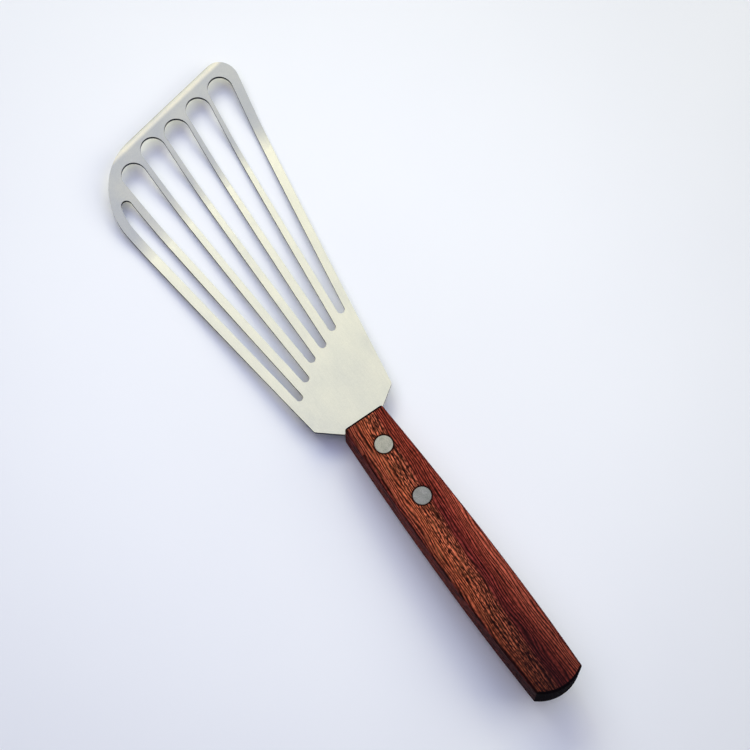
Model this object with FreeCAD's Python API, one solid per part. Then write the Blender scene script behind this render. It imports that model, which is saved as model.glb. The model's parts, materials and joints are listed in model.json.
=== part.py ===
import FreeCAD, Part
import math
import os
from FreeCAD import Vector

# Fish spatula: a slotted stainless blade whose half tang is riveted into a hardwood handle.
# The blade outweighs the handle, so the spatula lies on the handle's front edge and on the belly of
# the blade, with the butt raised. The finished frame is that rest: +X runs from the butt to the
# blade's front edge, +Z is up, Z = 0 is the surface that it lies on, and the origin is the middle of
# the spatula's footprint. The pieces are drawn first with the handle level: X = 0 at the handle's
# front face, Y = 0 on its centre line, Z = 0 on its underside.
# Lengths are in millimetres, angles in degrees.

# Handle
handle_length = 137.3
handle_thickness = 17.0
handle_front_width = 18.6
handle_belly_width = 23.2
handle_butt_width = 21.4
handle_belly_from_front = 89.0
handle_butt_crown = 3.75
handle_butt_skew = 1.3
handle_edge_radius = 1.4
handle_corner_radius = 1.0

# Blade sheet and its side profile
blade_thickness = 1.5
blade_reach = 159.1
camber_radius = 1700.0
lip_run = 42.0
lip_radius = 76.0
lip_angle = 13.0

# The front edge is ground: the lip's top rounds down softly to a narrow, steep bevel
soft_grind_radius = 11.0
soft_grind_angle = 10.5
edge_bevel_width = 0.5
edge_bevel_angle = 55.0

# Blade outline
front_edge_slant = 11.9
long_neck_offset = 19.6
long_neck_depth = 7.0
short_neck_offset = 18.8
short_neck_depth = 8.0
neck_corner_radius = 1.5
long_side_flare = 9.75
short_side_flare = 7.65
long_corner_radius = 8.2
short_corner_radius = 29.5

# Drain slots, counted from the long side, with their tips at even steps along the front edge
first_slot_tip_share = 0.1433
slot_pitch_share = 0.1533
bar_tip_width = 2.0
slot_root_width = 3.4
first_slot_root_offset = 21.1
first_slot_root_reach = 44.2
slot_root_row_width = 36.5
slot_root_row_run = 21.8
front_rim_width = 5.2
slot_root_across_shares = (0.0, 0.206, 0.416, 0.619, 0.811, 1.0)
slot_root_back_shares = (0.0, 0.193, 0.376, 0.5, 0.757, 1.0)
slot_rim_shares = (0.99, 0.99, 1.05, 0.81, 1.24)

# The last slot follows the blade's large rounded corner
last_slot_tip_width = 8.0
last_slot_tip_from_side = 7.35
last_slot_end_radius = 2.4
side_bar_width = 4.05

# Tang and its slot in the handle
tang_length = 56.0
tang_width = 13.0
tang_end_radius = 4.0
tang_clearance = 0.05
tang_end_clearance = 1.0

# Two-part rivets
front_rivet_from_front = 14.7
rear_rivet_from_tang_end = 14.6
rivet_head_diameter = 7.5
rivet_head_thickness = 2.0
rivet_head_recess = 0.05
rivet_sleeve_diameter = 4.8
rivet_pin_diameter = 3.2
rivet_pin_end_gap = 0.6
rivet_press_clearance = 0.02
rivet_hole_clearance = 0.1

# How far cutters run past what they cut, and how near two points count as one
overrun = 0.5
same_place = 0.01

# Derived places of the side profile, measured across the slanted front edge
slant = math.radians(front_edge_slant)
tang_mid_z = handle_thickness / 2
underside = tang_mid_z - blade_thickness / 2
front_run = blade_reach * math.cos(slant)
lip_start = front_run - lip_run
camber_turn = math.asin((lip_start - long_neck_depth) / camber_radius)
lip_turn = camber_turn + math.radians(lip_angle)


def spoke(turn):
    """Direction from a bend's centre to the sheet, where the sheet has risen by the given turn."""
    return Vector(math.sin(turn), 0, -math.cos(turn))


camber_centre = Vector(long_neck_depth, 0, underside + camber_radius)
lip_centre = camber_centre + spoke(camber_turn) * (camber_radius - lip_radius)
lip_end = lip_centre + spoke(lip_turn) * lip_radius


def line(start, end):
    return Part.LineSegment(start, end).toShape()


def prism(edges, height):
    """Closed outline in the XY plane, raised from Z = 0."""
    return Part.Face(Part.Wire(edges)).extrude(Vector(0, 0, height))


def polygon(points):
    """Straight edges through the points and back to the first."""
    return [line(a, b) for a, b in zip(points, points[1:] + points[:1])]


def pair(x, width):
    """Two points at the same X, half a width to each side of the centre line."""
    return Vector(x, -width / 2, 0), Vector(x, width / 2, 0)


def round_upright_edge(solid, corner, radius):
    """Rounds the upright edge of a prism that stands on the given plan point."""
    def stands_there(edge):
        return all(math.hypot(v.X - corner.x, v.Y - corner.y) < same_place for v in edge.Vertexes)
    return solid.makeFillet(radius, [edge for edge in solid.Edges if stands_there(edge)])


def crown_arc(crown, end):
    """Arc from a side's widest point, where it runs along X, to an end nearer the centre line."""
    run = end.x - crown.x
    drop = abs(crown.y) - abs(end.y)
    radius = (run * run + drop * drop) / (2 * drop)
    half_turn = math.asin(run / radius) / 2
    sag = math.copysign(radius * (1 - math.cos(half_turn)), crown.y)
    middle = Vector(crown.x + radius * math.sin(half_turn), crown.y - sag, 0)
    return Part.Arc(crown, middle, end).toShape()


def handle_body():
    """Handle block: bellied sides, square front, rounded butt and eased edges."""
    fronts = pair(0, handle_front_width)
    bellies = pair(-handle_belly_from_front, handle_belly_width)
    skew = Vector(handle_butt_skew / 2, 0, 0)
    long_butt, short_butt = pair(handle_butt_crown - handle_length, handle_butt_width)
    butts = (long_butt - skew, short_butt + skew)
    edges = [line(*fronts)]
    edges += [crown_arc(belly, front) for belly, front in zip(bellies, fronts)]
    edges += [crown_arc(belly, butt) for belly, butt in zip(bellies, butts)]
    edges.append(Part.Arc(butts[0], Vector(-handle_length, 0, 0), butts[1]).toShape())
    body = prism(Part.__sortEdges__(edges), handle_thickness)
    for corner in fronts + butts:
        body = round_upright_edge(body, corner, handle_corner_radius)
    level = [e for e in body.Edges if abs(e.Vertexes[0].Z - e.Vertexes[-1].Z) < same_place]
    return body.makeFillet(handle_edge_radius, level)


def rivet_places():
    """X of the front and the rear rivet."""
    return {"front": -front_rivet_from_front, "rear": rear_rivet_from_tang_end - tang_length}


def head_seats():
    """Heights of the shoulders that the lower and the upper rivet head seat on."""
    depth = rivet_head_recess + rivet_head_thickness
    return depth, handle_thickness - depth


def upright_cylinder(x, diameter, low, high):
    """Cylinder on the handle's centre line between two heights."""
    return Part.makeCylinder(diameter / 2, high - low, Vector(x, 0, low))


def rivet_hole(x):
    """Stepped hole through the handle: a shank hole with a seat for a head at each end."""
    low_seat, high_seat = head_seats()
    bottom = -overrun
    top = handle_thickness + overrun
    seat_diameter = rivet_head_diameter + 2 * rivet_hole_clearance
    hole = upright_cylinder(x, rivet_sleeve_diameter + 2 * rivet_hole_clearance, bottom, top)
    hole = hole.fuse(upright_cylinder(x, seat_diameter, bottom, low_seat))
    return hole.fuse(upright_cylinder(x, seat_diameter, high_seat, top))


def tang_slot():
    """Blind slot that takes the tang from the handle's front."""
    depth = tang_length + tang_end_clearance
    width = tang_width + 2 * tang_clearance
    height = blade_thickness + 2 * tang_clearance
    corner = Vector(-depth, -width / 2, tang_mid_z - height / 2)
    return Part.makeBox(depth + overrun, width, height, corner)


def handle():
    body = handle_body().cut(tang_slot())
    for x in rivet_places().values():
        body = body.cut(rivet_hole(x))
    return body


def rivet_sleeve(x):
    """Lower rivet half: a head with a tube that reaches up to just below the upper head."""
    low_seat, high_seat = head_seats()
    head = upright_cylinder(x, rivet_head_diameter, rivet_head_recess, low_seat)
    tube = upright_cylinder(x, rivet_sleeve_diameter, low_seat, high_seat - rivet_hole_clearance)
    bore = upright_cylinder(x, rivet_pin_diameter + 2 * rivet_press_clearance, low_seat, high_seat)
    return head.fuse(tube).cut(bore).removeSplitter()


def rivet_pin(x):
    """Upper rivet half: a head with a solid pin pressed down into the sleeve."""
    low_seat, high_seat = head_seats()
    head = upright_cylinder(x, rivet_head_diameter, high_seat, handle_thickness - rivet_head_recess)
    pin = upright_cylinder(x, rivet_pin_diameter, low_seat + rivet_pin_end_gap, high_seat)
    return head.fuse(pin).removeSplitter()


def neck_corners():
    """Plan points where the neck turns into the long and the short side of the blade."""
    return Vector(long_neck_depth, -long_neck_offset, 0), Vector(short_neck_depth, short_neck_offset, 0)


def fan_lines(inset):
    """Long side, front edge and short side as outward normal and distance, moved in by inset."""
    long_turn = math.radians(long_side_flare)
    short_turn = math.radians(short_side_flare)
    long_normal = Vector(-math.sin(long_turn), -math.cos(long_turn), 0)
    front_normal = Vector(math.cos(slant), math.sin(slant), 0)
    short_normal = Vector(-math.sin(short_turn), math.cos(short_turn), 0)
    long_point, short_point = neck_corners()
    normals = (long_normal, front_normal, short_normal)
    points = (long_point, Vector(blade_reach, 0, 0), short_point)
    return [(normal, normal.dot(point) - inset) for normal, point in zip(normals, points)]


def meet(first, second):
    """Point where two lines, given as normal and distance, cross."""
    (a, d), (b, e) = first, second
    det = a.x * b.y - a.y * b.x
    return Vector((d * b.y - e * a.y) / det, (a.x * e - b.x * d) / det, 0)


def front_corners(inset):
    """Where the front edge meets the long and the short side, all moved in by inset."""
    long_line, front_line, short_line = fan_lines(inset)
    return meet(long_line, front_line), meet(front_line, short_line)


def along_front(y, inset):
    """Point at a given Y on the front edge moved in by inset."""
    normal, distance = fan_lines(inset)[1]
    return Vector((distance - normal.y * y) / normal.x, y, 0)


def blade_outline(height):
    """Plan prism of the blade with its neck and tang, without slots."""
    far_corner, near_corner = front_corners(0)
    necks = neck_corners()
    shoulders = pair(0, handle_front_width)
    roots = pair(0, tang_width)
    ends = pair(-tang_length, tang_width)
    points = [ends[0], roots[0], shoulders[0], necks[0], far_corner]
    points += [near_corner, necks[1], shoulders[1], roots[1], ends[1]]
    solid = prism(polygon(points), height)
    solid = round_upright_edge(solid, far_corner, long_corner_radius)
    solid = round_upright_edge(solid, near_corner, short_corner_radius)
    for corner in necks:
        solid = round_upright_edge(solid, corner, neck_corner_radius)
    for corner in ends:
        solid = round_upright_edge(solid, corner, tang_end_radius)
    return solid


def tapered_slot(root, root_width, tip, tip_width, height):
    """Prism of a slot with two round ends of different width and straight sides tangent to both."""
    r, s = root_width / 2, tip_width / 2
    axis = (tip - root).normalize()
    across = Vector(-axis.y, axis.x, 0)
    lean = math.asin((s - r) / root.distanceToPoint(tip))
    left, right = [across * (side * math.cos(lean)) - axis * math.sin(lean) for side in (1, -1)]
    edges = [
        line(root + left * r, tip + left * s),
        Part.Arc(tip + left * s, tip + axis * s, tip + right * s).toShape(),
        line(tip + right * s, root + right * r),
        Part.Arc(root + right * r, root - axis * r, root + left * r).toShape(),
    ]
    return prism(edges, height)


def slot_root(index):
    """Centre of a slot's narrow end, on the slanted row across the blade."""
    back = slot_root_back_shares[index] * slot_root_row_run
    across = slot_root_across_shares[index] * slot_root_row_width
    x = first_slot_root_reach - back + slot_root_width / 2
    return Vector(x, across - first_slot_root_offset, 0)


def fanned_slot(index, height):
    """One of the slots that end along the front edge."""
    far_corner, near_corner = front_corners(0)
    span = near_corner.y - far_corner.y
    pitch = slot_pitch_share * span
    tip_width = pitch - bar_tip_width
    tip_y = far_corner.y + first_slot_tip_share * span + index * pitch
    tip = along_front(tip_y, slot_rim_shares[index] * front_rim_width + tip_width / 2)
    return tapered_slot(slot_root(index), slot_root_width, tip, tip_width, height)


def last_slot(height):
    """Slot beside the large corner: a taper trimmed to an even side bar, with its end rounded."""
    tip = meet(fan_lines(0)[1], fan_lines(last_slot_tip_from_side)[2])
    slot = tapered_slot(slot_root(-1), slot_root_width, tip, last_slot_tip_width, height)
    near_corner = front_corners(side_bar_width)[1]
    normal, distance = fan_lines(side_bar_width)[2]
    side_start = Vector(0, distance / normal.y, 0)
    points = [Vector(0, 0, 0), along_front(0, side_bar_width), near_corner, side_start]
    trim = prism(polygon(points), height)
    trim = round_upright_edge(trim, near_corner, short_corner_radius - side_bar_width)
    slot = slot.common(trim)
    end = max((v.Point for v in slot.Vertexes), key=lambda point: point.x)
    return round_upright_edge(slot, end, last_slot_end_radius)


def bend(centre, radius, start_turn, end_turn):
    """Arc of the side profile between two turns; a negative radius rounds the profile down."""
    turns = (start_turn, (start_turn + end_turn) / 2, end_turn)
    return Part.Arc(*[centre + spoke(turn) * radius for turn in turns]).toShape()


def rising(turn):
    """Direction ahead along the side profile where it has risen by the given turn."""
    return Vector(math.cos(turn), 0, math.sin(turn))


def ground_edge():
    """Front of the side profile, from the lip's underside over the edge to the lip's flat top."""
    ahead, up = rising(lip_turn), spoke(lip_turn) * -1
    soft_turn = lip_turn - math.radians(soft_grind_angle)
    steep = rising(lip_turn - math.radians(edge_bevel_angle))
    to_start, to_bevel = spoke(lip_turn) * -soft_grind_radius, spoke(soft_turn) * -soft_grind_radius
    low_edge = lip_end + ahead * ((front_run - lip_end.x) / ahead.x)
    sunk_edge = low_edge + up * blade_thickness + to_bevel - to_start
    bevel_start = sunk_edge + ahead * ((front_run - edge_bevel_width - sunk_edge.x) / ahead.x)
    centre = bevel_start - to_bevel
    top_tip = bevel_start + steep * ((edge_bevel_width + overrun) / steep.x)
    low_tip = low_edge + ahead * (overrun / ahead.x)
    return [
        line(lip_end, low_tip),
        line(low_tip, top_tip),
        line(top_tip, bevel_start),
        bend(centre, -soft_grind_radius, soft_turn, lip_turn),
        line(centre + to_start, lip_centre + spoke(lip_turn) * (lip_radius - blade_thickness)),
    ]


def sheet_profile():
    """Side profile of the sheet, across the front edge: flat tang, camber, lip and ground edge."""
    low_tang = Vector(-tang_length - overrun, 0, underside)
    top_tang = low_tang + Vector(0, 0, blade_thickness)
    top_camber = camber_radius - blade_thickness
    return [
        line(low_tang, camber_centre + spoke(0) * camber_radius),
        bend(camber_centre, camber_radius, 0, camber_turn),
        bend(lip_centre, lip_radius, camber_turn, lip_turn),
        *ground_edge(),
        bend(lip_centre, lip_radius - blade_thickness, lip_turn, camber_turn),
        bend(camber_centre, top_camber, camber_turn, 0),
        line(camber_centre + spoke(0) * top_camber, top_tang),
        line(top_tang, low_tang),
    ]


def curved_sheet():
    """Bent sheet, wider than the blade, with its bends parallel to the slanted front edge."""
    half_span = blade_reach
    face = Part.Face(Part.Wire(sheet_profile()))
    face.translate(Vector(0, -half_span, 0))
    sheet = face.extrude(Vector(0, 2 * half_span, 0))
    sheet.rotate(Vector(0, 0, 0), Vector(0, 0, 1), front_edge_slant)
    return sheet


def blade():
    height = handle_thickness + lip_run
    plan = blade_outline(height)
    for index in range(len(slot_rim_shares)):
        plan = plan.cut(fanned_slot(index, height))
    solid = plan.cut(last_slot(height)).common(curved_sheet())
    hole_diameter = rivet_sleeve_diameter + 2 * rivet_hole_clearance
    for x in rivet_places().values():
        solid = solid.cut(upright_cylinder(x, hole_diameter, 0, handle_thickness))
    return solid


def underside_height(run):
    """Height of the underside of camber and lip at a distance across the slanted front edge."""
    if run > lip_end.x:
        return lip_end.z + (run - lip_end.x) * math.tan(lip_turn)
    centre, radius = (camber_centre, camber_radius) if run < lip_start else (lip_centre, lip_radius)
    return centre.z - math.sqrt(radius ** 2 - (run - centre.x) ** 2)


def rest_tilt():
    """Angle at which the belly, on the long side, meets the surface under the handle's front edge."""
    start = neck_corners()[0]
    reach = front_corners(0)[0] - start
    pivot = Vector(-handle_edge_radius, 0, handle_edge_radius)
    steps = 2000

    def touching_angle(step):
        point = start + reach * (step / steps)
        run = point.x * math.cos(slant) + point.y * math.sin(slant)
        ahead = point.x - pivot.x
        above = underside_height(run) - pivot.z
        return math.atan2(above, ahead) + math.asin(handle_edge_radius / math.hypot(ahead, above))
    return math.degrees(min(touching_angle(step) for step in range(steps)))


def at_rest(pieces):
    """Tips the drawn pieces on to their belly and puts the origin in the middle of the footprint."""
    tilt = rest_tilt()
    for shape in pieces.values():
        shape.rotate(Vector(0, 0, 0), Vector(0, 1, 0), tilt)
    box = Part.makeCompound(list(pieces.values())).optimalBoundingBox(False)
    for shape in pieces.values():
        shape.translate(Vector(-box.Center.x, -box.Center.y, -box.ZMin))
    return pieces


def drawn_pieces():
    """Every piece by its node name, drawn with the handle level."""
    pieces = {"handle": handle(), "blade": blade()}
    for place, x in rivet_places().items():
        pieces[place + "_rivet_sleeve"] = rivet_sleeve(x)
        pieces[place + "_rivet_pin"] = rivet_pin(x)
    return pieces


os.makedirs("parts", exist_ok=True)
for name, shape in at_rest(drawn_pieces()).items():
    solid, = shape.Solids
    solid.exportStep("parts/" + name + ".step")
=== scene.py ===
import json
from math import atan2, cos, pi, radians, sin

import bpy
from mathutils import Matrix, Vector


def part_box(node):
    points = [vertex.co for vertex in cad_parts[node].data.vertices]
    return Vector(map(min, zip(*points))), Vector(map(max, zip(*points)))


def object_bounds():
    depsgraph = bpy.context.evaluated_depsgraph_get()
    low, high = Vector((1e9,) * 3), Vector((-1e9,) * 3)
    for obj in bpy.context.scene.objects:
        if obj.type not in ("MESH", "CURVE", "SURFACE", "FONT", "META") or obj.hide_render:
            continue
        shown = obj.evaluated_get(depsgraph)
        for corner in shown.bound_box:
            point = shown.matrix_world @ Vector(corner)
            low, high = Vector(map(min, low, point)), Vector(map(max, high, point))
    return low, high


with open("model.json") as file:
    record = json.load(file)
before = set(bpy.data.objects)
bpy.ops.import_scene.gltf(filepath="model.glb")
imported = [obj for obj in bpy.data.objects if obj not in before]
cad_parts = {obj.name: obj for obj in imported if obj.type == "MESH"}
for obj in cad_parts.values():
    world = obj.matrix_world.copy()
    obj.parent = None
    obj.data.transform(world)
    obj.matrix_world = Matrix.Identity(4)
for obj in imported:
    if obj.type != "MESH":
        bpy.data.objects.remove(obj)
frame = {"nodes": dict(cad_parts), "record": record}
cad_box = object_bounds()

# The mount on the handle's underside gives the handle's own frame: millimetres from the middle
# of the underside, x to the blade, y to the blade's short side, z to the top face.
mount = frame["record"]["mounts"][0]
handle_middle = Vector(mount["pos_m"])
handle_tilt = atan2(-mount["axis"][0], -mount["axis"][2])
handle_place = Matrix.Translation(handle_middle) @ Matrix.Rotation(handle_tilt, 4, "Y")
millimetre = 0.001

# Sizes of the solids that the materials follow. The blade's reach is from the handle's front,
# and the slant of its front edge is in degrees.
handle_half_length = 68.65
handle_height = 17.0
rivet_head_radius = 3.75
blade_reach = 159.1
front_edge_slant = 11.9

# Camera: the photograph's viewpoint, in metres.
camera_place = Vector((-0.17326, 0.16635, 0.88809))
camera_right = Vector((-0.57757, -0.81480, 0.05076))
camera_up = Vector((0.79428, -0.54650, 0.26527))
camera_ahead = Vector((0.18842, -0.19350, -0.96280))
camera_lens = 105.6
camera_sensor = 36.0

# Light: four softboxes at one distance, a bluish glow overhead, and a pale backdrop.
# Each softbox: azimuth and elevation in degrees, size in metres, power in watts, colour.
softbox_distance = 1.2
softboxes = {
    "key_right": (330.0, 38.0, 0.6, 5.3, (1.0, 0.945, 0.57)),
    "key_front": (0.0, 47.0, 0.6, 4.3, (0.945, 1.0, 0.98)),
    "rear": (240.0, 42.0, 0.9, 4.6, (1.0, 0.94, 0.55)),
    "side": (60.0, 65.0, 0.8, 2.1, (1.0, 0.88, 0.94)),
}
glow_direction = Vector((-0.05, -0.32, 0.945)).normalized()
glow_spread = 4.0                 # the larger, the narrower
glow_colour = (0.66, 0.79, 1.42, 1.0)
sky_colour = (0.02, 0.02, 0.03, 1.0)
backdrop_colour = (0.80, 0.83, 0.88, 1.0)
backdrop_top = (0.30, 0.65)       # the mirrored backdrop fades out between these heights

# Each noise below is (scales, detail, roughness). Scales are per millimetre of the handle's frame,
# or per metre on the floor. Nearly all of a noise lies between the first two values here, and a
# cloudy tint changes between the other two.
noise_low, noise_high = 0.3, 0.7
tint_low, tint_high = 0.32, 0.68

# Wood: the grain. Places across it are in millimetres from the dark stripe.
grain_lean = 0.45                 # growth layers lean this much across the handle's height
grain_wander = 0.9
wander_noise = ((0.022, 0.05, 0.05), 2.0, 0.5)
dark_stripe_front = -7.2          # where the dark stripe crosses the handle's front
dark_stripe_settles = -45.0       # from here to the butt it follows the centre line
dark_stripe_curve = 1.6
wood_colours = [
    (-12.0, (0.175, 0.035, 0.021)), (-8.5, (0.285, 0.061, 0.035)), (-6.0, (0.205, 0.038, 0.022)),
    (-3.0, (0.150, 0.0230, 0.0155)), (-0.8, (0.114, 0.0158, 0.0132)), (0.9, (0.108, 0.0160, 0.0138)),
    (2.5, (0.195, 0.047, 0.025)), (6.0, (0.228, 0.056, 0.0265)), (9.0, (0.248, 0.056, 0.0245)),
    (13.0, (0.180, 0.038, 0.021))]
weak_stripe_colour = (0.185, 0.030, 0.016, 1.0)
weak_stripe_starts = (-6.0, -2.0)
weak_stripe_stops = (1.2, 2.4)
weak_stripe_along = (12.0, 45.0)  # the dark stripe weakens between these places along the handle
weak_stripe_share = 0.75

# Wood: streaks, fibre lines, flecks, golden fibres and pores.
streak_noise = ((0.018, 0.5, 0.4), 3.0, 0.6)
streak_brightness = (0.78, 1.22)
fibre_pitch = 1.02
fibre_waver = 0.6
fibre_waver_noise = ((0.05, 0.35, 0.3), 1.0, 0.5)
fibre_fade_noise = ((0.20, 0.9, 0.8), 1.0, 0.5)
fibre_fade_range = (0.35, 0.65)
fibre_strength = (0.62, 1.12)
fibre_gain_across = (-6.0, 9.0)
fibre_gain = (1.0, 1.15)
fibre_least = 0.10                # brightness of the darkest fibres
fleck_noise = ((0.68, 2.50, 1.9), 0.0, 0.5)
fleck_range = (0.36, 0.64)
fleck_contrast = 0.74
golden_noise = ((0.10, 1.60, 1.3), 1.0, 0.6)
golden_range = (0.54, 0.70)
golden_share = 0.35
golden_starts = (1.6, 3.0)
golden_colour = (0.380, 0.125, 0.052, 1.0)
pore_scales = (0.37, 1.85, 0.9)
pore_rim = (0.28, 0.45)
pore_choice = (0.25, 0.45)        # the cells with a lower random value have no pore
pore_colour = (0.012, 0.0040, 0.0042, 1.0)
pore_openness = [(-12.0, 0.35), (-7.0, 0.35), (-4.0, 0.40), (1.0, 0.45),
                 (2.2, 1.0), (7.0, 1.0), (9.0, 0.50), (13.0, 0.40)]

# Wood: painted shade towards the butt, round the rivets and on the sides, the dark sealed ends, and its
# surface.
# Painted shade where the light falls off: darker towards the butt, more so on the handle's +y side.
painted_shade_along = (-72.0, 4.0)
painted_shade_across = (-7.0, 1.0)
painted_shade_strength = (0.55, 0.80)
painted_shade_colour = (0.012, 0.0040, 0.0060, 1.0)
# Painted shade: a thin dark ring in the gap round each rivet head.
shaded_gap_inner, shaded_gap_outer = rivet_head_radius + 0.4, rivet_head_radius + 1.0
shaded_gap_share = 0.95
shaded_gap_colour = (0.012, 0.003, 0.002, 1.0)
# Painted shade: the handle's side faces are tinted darker and purple, standing in for the shade on them.
shaded_side_facing = (0.25, 0.9)
side_shade_tint = (0.50, 0.38, 0.55, 1.0)
end_facing = (0.15, 0.4)
end_along = (handle_half_length - 5.5, handle_half_length - 4.5)
end_colour = (0.0050, 0.0030, 0.0040, 1.0)
wood_roughness = (0.60, 1.0)      # of the open face, and of pores and ends
wood_specular = 0.02
wood_relief, wood_relief_strength = 0.00012, 0.5
fibre_relief = 0.35

# Steel of the blade. Places behind the front edge are in millimetres.
steel_cloud = ((0.06, 0.09, 0.09), 4.0, 0.6)
steel_brushing = ((0.12, 5.0, 5.0), 2.0, 0.6)
steel_speckle = ((2.2, 2.2, 2.2), 2.0, 0.6)
steel_colours = [(tint_low, (0.507, 0.491, 0.386)), (tint_high, (0.543, 0.523, 0.411))]
brushing_brightness = (0.465, 0.535)
speckle_brightness = (0.455, 0.545)
steel_roughness = (0.38, 0.45)
brushing_roughness = (-0.03, 0.03)
steel_relief, steel_relief_strength = 0.00004, 0.12
# Stamped edges and slot walls: partly duller cut steel, partly painted shade.
face_upright = (0.3, 0.7)
dull_shaded_edge_colour = (0.020, 0.022, 0.030, 1.0)
cut_edge_roughness = 0.55
# Painted highlight: a bright warm band behind the front edge, on the ground bevel.
edge_highlight_noise = ((0.8, 2.5, 2.5), 2.0, 0.6)
edge_highlight_marks = (0.75, 1.15)
edge_highlight_starts = (0.65, 1.6)
edge_highlight_stops = (1.7, 3.4)
edge_highlight_colour = (0.815, 0.740, 0.500, 1.0)

# Rivets: painted light, the front one painted brighter than the rear one, as the light falls off towards
# the butt.
rivet_cloud = ((0.35, 0.35, 0.35), 4.0, 0.65)
rivet_speckle = ((2.6, 2.6, 2.6), 2.0, 0.6)
rivet_colours = [(tint_low, (0.219, 0.223, 0.204)), (tint_high, (0.305, 0.298, 0.269))]
rear_rivet_light, front_rivet_light = (0.80, 0.80, 0.79), (1.16, 1.13, 1.00)
rivet_brightness = (0.78, 1.22)
rivet_roughness = (0.58, 0.46)
rivet_relief, rivet_relief_strength = 0.00006, 0.3

# Floor, in metres. The paper is painted a little paler under the object, as a painted pool of light.
floor_half_size = 1.3
floor_gap = 0.05 * millimetre
paper_cloud = ((9.0, 9.0, 9.0), 3.0, 0.5)
paper_colours = [(tint_low, (0.905, 0.920, 0.945)), (tint_high, (0.920, 0.935, 0.955))]
light_pool_reach = (0.08, 0.26)
light_pool_brightness = (1.02, 0.88)
paper_roughness = 0.9
paper_specular = 0.1


def plug(tree, target, values):
    for socket, value in values.items():
        if isinstance(value, bpy.types.NodeSocket):
            tree.links.new(value, target.inputs[socket])
        else:
            target.inputs[socket].default_value = value


def node(tree, kind, inputs, **settings):
    made = tree.nodes.new(kind)
    for name, value in settings.items():
        setattr(made, name, value)
    plug(tree, made, inputs)
    return made


def sums(tree, operation, a, b=0.0):
    return node(tree, "ShaderNodeMath", {0: a, 1: b}, operation=operation).outputs[0]


def product(tree, first, *others):
    for other in others:
        first = sums(tree, "MULTIPLY", first, other)
    return first


def measure(tree, operation, a, b=(0.0, 0.0, 0.0)):
    """A number from one or two vectors, such as a length or a distance."""
    return node(tree, "ShaderNodeVectorMath", {0: a, 1: b}, operation=operation).outputs["Value"]


def span(tree, value, low, high, to_low=0.0, to_high=1.0, smooth=True):
    kind = "SMOOTHSTEP" if smooth else "LINEAR"
    inputs = {"Value": value, "From Min": low, "From Max": high, "To Min": to_low, "To Max": to_high}
    return node(tree, "ShaderNodeMapRange", inputs, interpolation_type=kind, clamp=True).outputs[0]


def spread(tree, value, to_low, to_high):
    """A noise's usual values, set evenly between two others."""
    return span(tree, value, noise_low, noise_high, to_low, to_high, False)


def blend(tree, factor, a, b, kind="MIX"):
    inputs = {0: factor, 6: a, 7: b}
    return node(tree, "ShaderNodeMix", inputs, data_type="RGBA", blend_type=kind).outputs[2]


def ramp(tree, value, stops):
    low, high = stops[0][0], stops[-1][0]
    made = node(tree, "ShaderNodeValToRGB", {0: span(tree, value, low, high, smooth=False)})
    elements = made.color_ramp.elements
    while len(elements) < len(stops):
        elements.new(1.0)
    for element, (at, colour) in zip(elements, stops):
        element.position = (at - low) / (high - low)
        element.color = (*colour, 1.0)
    return made.outputs[0]


def scaled(tree, place, scales):
    return node(tree, "ShaderNodeMapping", {"Vector": place, "Scale": scales}).outputs[0]


def noise(tree, place, scales, detail, roughness):
    inputs = {"Vector": scaled(tree, place, scales), "Scale": 1.0, "Detail": detail, "Roughness": roughness}
    return node(tree, "ShaderNodeTexNoise", inputs).outputs[0]


def voronoi(tree, place, scales):
    inputs = {"Vector": scaled(tree, place, scales), "Scale": 1.0}
    return node(tree, "ShaderNodeTexVoronoi", inputs).outputs


def bump(tree, height, depth, strength):
    inputs = {"Height": height, "Distance": depth, "Strength": strength}
    return node(tree, "ShaderNodeBump", inputs).outputs[0]


def split(tree, vector):
    return node(tree, "ShaderNodeSeparateXYZ", {0: vector}).outputs


def object_coordinates(tree):
    return node(tree, "ShaderNodeTexCoord", {}).outputs["Object"]


def handle_coordinates(tree):
    inputs = {"Vector": object_coordinates(tree), "Location": handle_middle,
              "Rotation": (0.0, handle_tilt, 0.0), "Scale": (millimetre, millimetre, millimetre)}
    return node(tree, "ShaderNodeMapping", inputs, vector_type="TEXTURE").outputs[0]


def handle_facing(tree):
    """How squarely a face looks along each axis of the handle's frame, either way."""
    facing = node(tree, "ShaderNodeNewGeometry", {}).outputs["Normal"]
    inputs = {"Vector": facing, "Rotation": (0.0, handle_tilt, 0.0)}
    turned = node(tree, "ShaderNodeMapping", inputs, vector_type="TEXTURE").outputs[0]
    return [sums(tree, "ABSOLUTE", part) for part in split(tree, turned)]


def new_material(name):
    material = bpy.data.materials.new(name)
    material.use_nodes = True
    tree = material.node_tree
    return material, tree, tree.nodes["Principled BSDF"]


def rivet_axis(name):
    pin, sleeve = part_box(name + "_rivet_pin"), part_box(name + "_rivet_sleeve")
    low = [min(a, b) for a, b in zip(pin[0], sleeve[0])]
    high = [max(a, b) for a, b in zip(pin[1], sleeve[1])]
    middle = handle_place.inverted() @ ((Vector(low) + Vector(high)) / 2)
    return (middle.x / millimetre, middle.y / millimetre, 0.0)


def rivet_gap_shade(tree, place):
    """1 in the thin ring of painted shade in the gap round each rivet head, 0 elsewhere."""
    flat = scaled(tree, place, (1.0, 1.0, 0.0))
    front, rear = [measure(tree, "DISTANCE", flat, rivet_axis(name)) for name in ("front", "rear")]
    return span(tree, sums(tree, "MINIMUM", front, rear), shaded_gap_inner, shaded_gap_outer, 1.0, 0.0)


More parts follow.
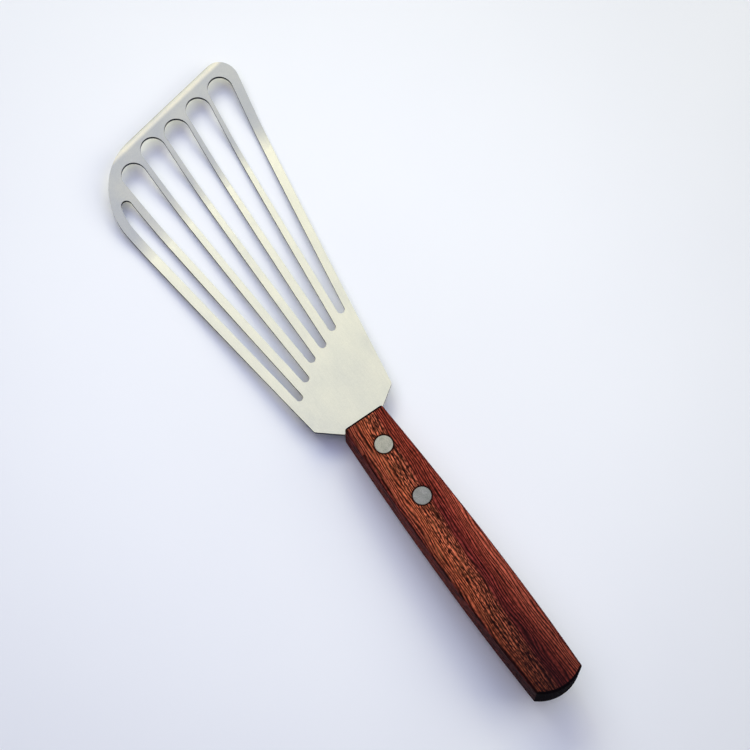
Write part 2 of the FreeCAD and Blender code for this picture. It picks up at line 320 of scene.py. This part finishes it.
def grain_coordinates(tree, place):
    """x, and the distance across the grain from the dark stripe: the layers lean and wander."""
    x, y, z = split(tree, place)
    lean = product(tree, sums(tree, "SUBTRACT", z, handle_height), grain_lean)
    wander = spread(tree, noise(tree, place, *wander_noise), -grain_wander, grain_wander)
    run = span(tree, x, dark_stripe_settles, handle_half_length, smooth=False)
    stripe = product(tree, sums(tree, "POWER", run, dark_stripe_curve), dark_stripe_front)
    across = sums(tree, "ADD", sums(tree, "SUBTRACT", sums(tree, "ADD", y, lean), stripe), wander)
    return x, across, node(tree, "ShaderNodeCombineXYZ", {0: x, 1: across, 2: z}).outputs[0]


def pore_dashes(tree, grain, porous):
    """Open pores: short dark dashes along the grain."""
    cells = voronoi(tree, grain, pore_scales)
    dashes = span(tree, cells["Distance"], *pore_rim, 1.0, 0.0)
    kept = span(tree, split(tree, cells["Color"])[0], *pore_choice)
    return product(tree, dashes, kept, porous)


def fibre_lines(tree, grain, across):
    """Brightness of the fibres: even lines along the grain that waver, fade and come back."""
    waver = spread(tree, noise(tree, grain, *fibre_waver_noise), -fibre_waver, fibre_waver)
    turns = product(tree, sums(tree, "ADD", across, waver), 2.0 * pi / fibre_pitch)
    fade = span(tree, noise(tree, grain, *fibre_fade_noise), *fibre_fade_range, *fibre_strength)
    strength = product(tree, fade, span(tree, across, *fibre_gain_across, *fibre_gain))
    lines = sums(tree, "ADD", product(tree, sums(tree, "SINE", turns), strength), 1.0)
    return sums(tree, "MAXIMUM", lines, fibre_least)


def flecks(tree, grain, porous):
    """Brightness of the short flecks between the pores."""
    flecked = noise(tree, grain, *fleck_noise)
    change = span(tree, flecked, *fleck_range, -fleck_contrast, fleck_contrast, False)
    return sums(tree, "ADD", product(tree, change, porous), 1.0)


def wood():
    material, tree, shader = new_material("handle_wood_grain")
    place = handle_coordinates(tree)
    x, across, grain = grain_coordinates(tree, place)

    # The dark stripe is weak at the handle's front and settles towards the butt.
    colour = ramp(tree, across, wood_colours)
    weak = product(tree, span(tree, across, *weak_stripe_starts),
                   span(tree, across, *weak_stripe_stops, 1.0, 0.0),
                   span(tree, x, *weak_stripe_along, 0.0, weak_stripe_share))
    colour = blend(tree, weak, colour, weak_stripe_colour)

    # Broad streaks, fibre lines and flecks, then golden fibres beyond the stripe, then open pores.
    porous = ramp(tree, across, [(at, (open_share,) * 3) for at, open_share in pore_openness])
    streaks = spread(tree, noise(tree, grain, *streak_noise), *streak_brightness)
    fibres = fibre_lines(tree, grain, across)
    brightness = product(tree, streaks, fibres, flecks(tree, grain, porous))
    colour = blend(tree, 1.0, colour, brightness, "MULTIPLY")
    golden = span(tree, noise(tree, grain, *golden_noise), *golden_range, 0.0, golden_share)
    golden = product(tree, golden, span(tree, across, *golden_starts))
    colour = blend(tree, golden, colour, golden_colour)
    pores = pore_dashes(tree, grain, porous)
    colour = blend(tree, pores, colour, pore_colour)

    # Painted shade: the wood is painted darker towards the butt where the light falls off, in the gaps
    # round the rivets and on the sides; the sealed ends are darker end grain.
    butt_shade = product(tree, span(tree, x, *painted_shade_along, 1.0, 0.0),
                   span(tree, across, *painted_shade_across, *painted_shade_strength))
    colour = blend(tree, butt_shade, colour, painted_shade_colour)
    colour = blend(tree, product(tree, rivet_gap_shade(tree, place), shaded_gap_share), colour, shaded_gap_colour)
    along, aside = handle_facing(tree)[:2]
    colour = blend(tree, span(tree, aside, *shaded_side_facing), colour, side_shade_tint, "MULTIPLY")
    ends = product(tree, span(tree, along, *end_facing), span(tree, sums(tree, "ABSOLUTE", x), *end_along))
    colour = blend(tree, ends, colour, end_colour)

    height = sums(tree, "SUBTRACT", product(tree, fibres, fibre_relief), pores)
    plug(tree, shader, {
        "Base Color": colour,
        "Roughness": span(tree, sums(tree, "MAXIMUM", pores, ends), 0.0, 1.0, *wood_roughness, False),
        "Specular IOR Level": wood_specular,
        "Normal": bump(tree, height, wood_relief, wood_relief_strength)})
    return material


def painted_edge_highlight(tree, place):
    """Painted highlight: a bright band a little behind the slanted front edge, where the ground bevel
    catches the light.
    """
    slant = radians(front_edge_slant)
    run = measure(tree, "DOT_PRODUCT", place, (cos(slant), sin(slant), 0.0))
    behind = sums(tree, "SUBTRACT", (handle_half_length + blade_reach) * cos(slant), run)
    marks = spread(tree, noise(tree, place, *edge_highlight_noise), *edge_highlight_marks)
    return product(tree, span(tree, behind, *edge_highlight_starts),
                   span(tree, behind, *edge_highlight_stops, 1.0, 0.0), marks)


def steel():
    material, tree, shader = new_material("blade_satin_steel")
    place = handle_coordinates(tree)
    cloud = noise(tree, place, *steel_cloud)
    brushing = noise(tree, place, *steel_brushing)
    speckle = noise(tree, place, *steel_speckle)
    shade = sums(tree, "ADD", spread(tree, brushing, *brushing_brightness),
                 spread(tree, speckle, *speckle_brightness))
    wear = sums(tree, "ADD", spread(tree, cloud, *steel_roughness),
                spread(tree, brushing, *brushing_roughness))
    colour = blend(tree, 1.0, ramp(tree, cloud, steel_colours), shade, "MULTIPLY")
    # Painted highlight on the ground bevel behind the front edge.
    colour = blend(tree, painted_edge_highlight(tree, place), colour, edge_highlight_colour)
    # Stamped edges and slot walls are painted near-black: partly duller cut steel, partly painted shade
    # standing in for the shadowed floor they mirror.
    flat_face = span(tree, handle_facing(tree)[2], *face_upright)
    plug(tree, shader, {
        "Base Color": blend(tree, flat_face, dull_shaded_edge_colour, colour),
        "Metallic": 1.0,
        "Roughness": span(tree, flat_face, 0.0, 1.0, cut_edge_roughness, wear, False),
        "Normal": bump(tree, sums(tree, "ADD", brushing, speckle), steel_relief, steel_relief_strength)})
    return material


def rivets():
    material, tree, shader = new_material("rivet_dull_steel")
    place = handle_coordinates(tree)
    cloud = noise(tree, place, *rivet_cloud)
    speckle = noise(tree, place, *rivet_speckle)
    # Painted light: brighter at the front rivet, darker at the rear one.
    stops = [(rivet_axis("rear")[0], rear_rivet_light), (rivet_axis("front")[0], front_rivet_light)]
    light_falloff = ramp(tree, split(tree, place)[0], stops)
    colour = blend(tree, 1.0, ramp(tree, cloud, rivet_colours), light_falloff, "MULTIPLY")
    plug(tree, shader, {
        "Base Color": blend(tree, 1.0, colour, spread(tree, speckle, *rivet_brightness), "MULTIPLY"),
        "Metallic": 1.0,
        "Roughness": spread(tree, cloud, *rivet_roughness),
        "Normal": bump(tree, speckle, rivet_relief, rivet_relief_strength)})
    return material


def paper():
    material, tree, shader = new_material("floor_paper")
    place = object_coordinates(tree)
    colour = ramp(tree, noise(tree, place, *paper_cloud), paper_colours)
    # Painted pool of light: paler under the object, darker further out.
    light_pool = span(tree, measure(tree, "LENGTH", place), *light_pool_reach, *light_pool_brightness)
    plug(tree, shader, {
        "Base Color": blend(tree, 1.0, colour, light_pool, "MULTIPLY"),
        "Roughness": paper_roughness,
        "Specular IOR Level": paper_specular})
    return material


def paint(node_names, material):
    for name in node_names:
        slots = frame["nodes"][name].data.materials
        if len(slots) == 0:
            slots.append(material)
        for i in range(len(slots)):
            slots[i] = material


def even_shading(name):
    """Weights a node's shading by face area, so that slivers on its eased edges don't show."""
    weighting = frame["nodes"][name].modifiers.new("even_shading", "WEIGHTED_NORMAL")
    weighting.mode = "FACE_AREA"


def floor():
    s = floor_half_size
    mesh = bpy.data.meshes.new("floor")
    mesh.from_pydata([(-s, -s, 0), (s, -s, 0), (s, s, 0), (-s, s, 0)], [], [(0, 1, 2, 3)])
    made = bpy.data.objects.new("floor", mesh)
    made.location.z = cad_box[0].z - floor_gap
    mesh.materials.append(paper())
    bpy.context.scene.collection.objects.link(made)


def softbox(name, azimuth, elevation, size, power, colour):
    lamp = bpy.data.lights.new(name, "AREA")
    lamp.shape = "SQUARE"
    lamp.size = size
    lamp.energy = power
    lamp.color = colour
    made = bpy.data.objects.new(name, lamp)
    level = softbox_distance * cos(radians(elevation))
    place = Vector((level * cos(radians(azimuth)), level * sin(radians(azimuth)),
                    softbox_distance * sin(radians(elevation))))
    turn = place.to_track_quat("Z", "Y").to_matrix().to_4x4()
    made.matrix_world = Matrix.Translation(place) @ turn
    bpy.context.scene.collection.objects.link(made)


def sky():
    world = bpy.data.worlds.new("sky")
    bpy.context.scene.world = world
    world.use_nodes = True
    tree = world.node_tree
    direction = node(tree, "ShaderNodeTexCoord", {}).outputs["Generated"]
    facing = measure(tree, "DOT_PRODUCT", direction, glow_direction)
    glow = sums(tree, "POWER", sums(tree, "MAXIMUM", facing, 0.0), glow_spread)
    colour = blend(tree, glow, sky_colour, glow_colour)
    # The camera sees the pale backdrop, and the metal mirrors it near the horizon.
    path = node(tree, "ShaderNodeLightPath", {}).outputs
    low = span(tree, split(tree, direction)[2], *backdrop_top, 1.0, 0.0)
    mirrored = product(tree, low, path["Is Glossy Ray"])
    colour = blend(tree, sums(tree, "MAXIMUM", mirrored, path["Is Camera Ray"]), colour, backdrop_colour)
    tree.links.new(colour, tree.nodes["Background"].inputs["Color"])


def camera():
    data = bpy.data.cameras.new("camera")
    data.lens = camera_lens
    data.sensor_width = camera_sensor
    made = bpy.data.objects.new("camera", data)
    turn = Matrix((camera_right, camera_up, -camera_ahead)).transposed().to_4x4()
    made.matrix_world = Matrix.Translation(camera_place) @ turn
    bpy.context.scene.collection.objects.link(made)
    bpy.context.scene.camera = made


paint(["blade"], steel())
paint(["handle"], wood())
even_shading("handle")
paint(["front_rivet_pin", "front_rivet_sleeve", "rear_rivet_pin", "rear_rivet_sleeve"], rivets())
floor()
for name, values in softboxes.items():
    softbox(name, *values)
sky()
camera()
bpy.context.scene.view_settings.view_transform = "Standard"
